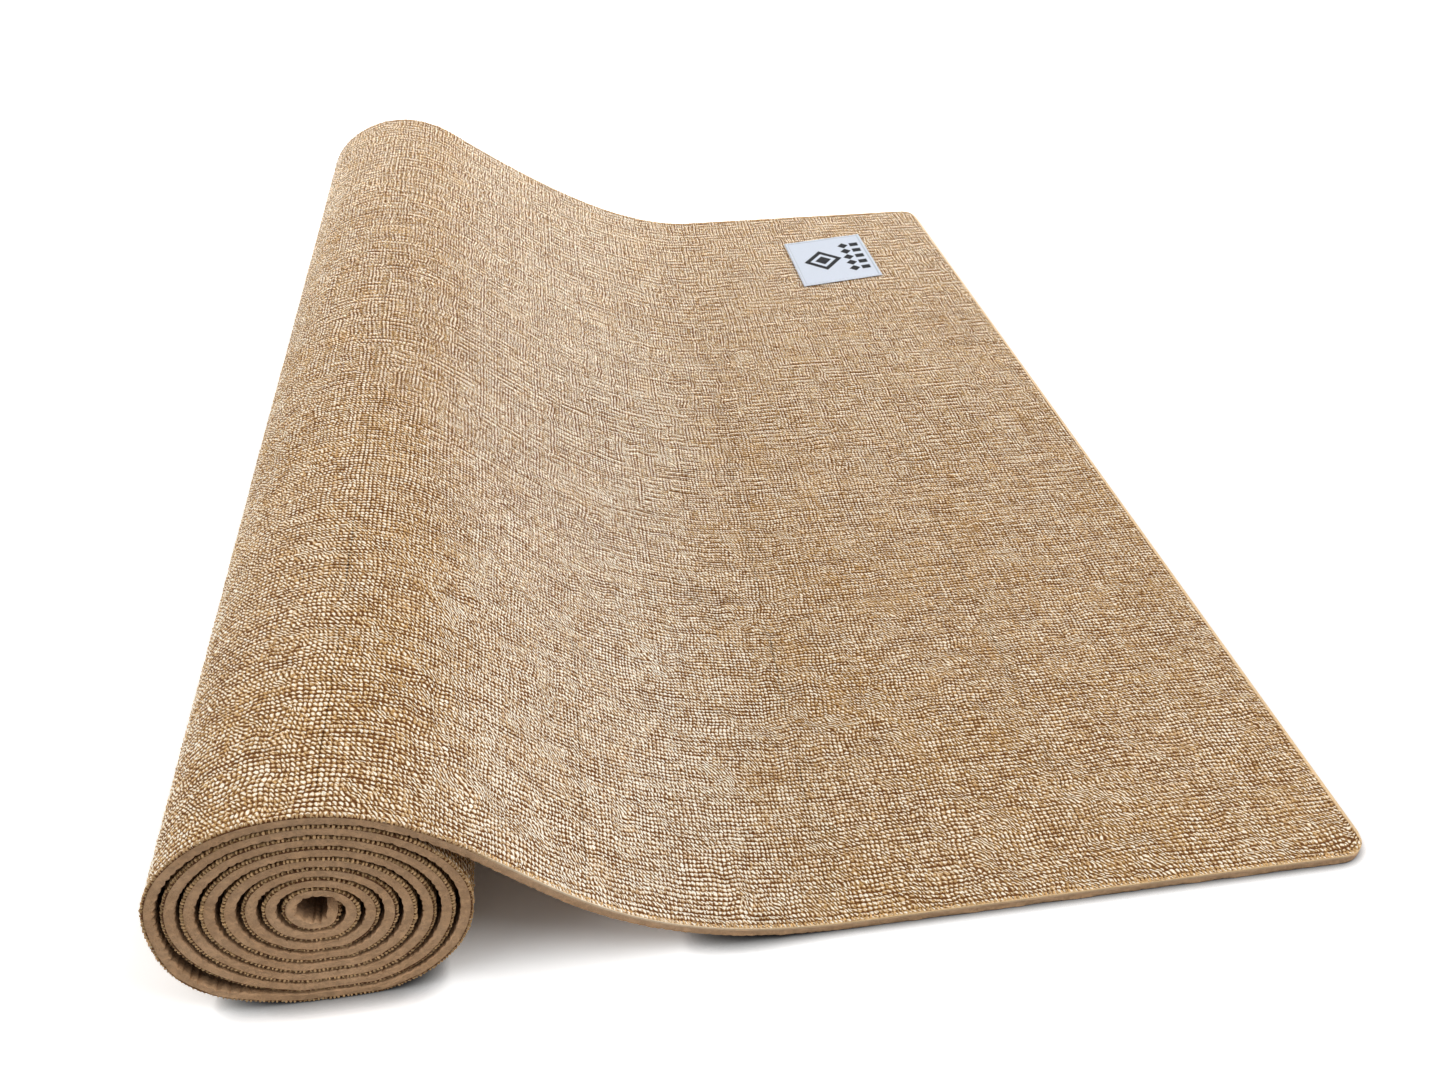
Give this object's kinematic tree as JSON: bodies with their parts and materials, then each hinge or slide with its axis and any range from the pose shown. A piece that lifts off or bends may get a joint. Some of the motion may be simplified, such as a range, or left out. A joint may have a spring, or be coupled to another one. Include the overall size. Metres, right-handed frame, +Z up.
{
  "type": "yoga mat",
  "caption": "Yoga mat of woven jute bonded to brown foam, partly rolled up, with its free end laid flat and a small blank woven label sewn near one corner.",
  "frame": {"origin": "middle of the mat's base, on the floor that it lies on", "axes": "+X along the sheet from the roll to the free end, +Y across the sheet from the near edge to the far edge, +Z up"},
  "size_m": [0.4182, 0.6101, 0.0899],
  "materials": {
    "foam": "matt brown closed-cell foam rubber with a fine scalloped non-slip underside",
    "jute": "coarse natural jute in an uneven plain weave, dry and matt",
    "label": "blank bluish-white satin ribbon with a folded hem, soft sheen"
  },
  "bodies": {
    "root": {"foam_base": "foam", "jute_face": "jute", "woven_label": "label"}
  },
  "joints": []
}
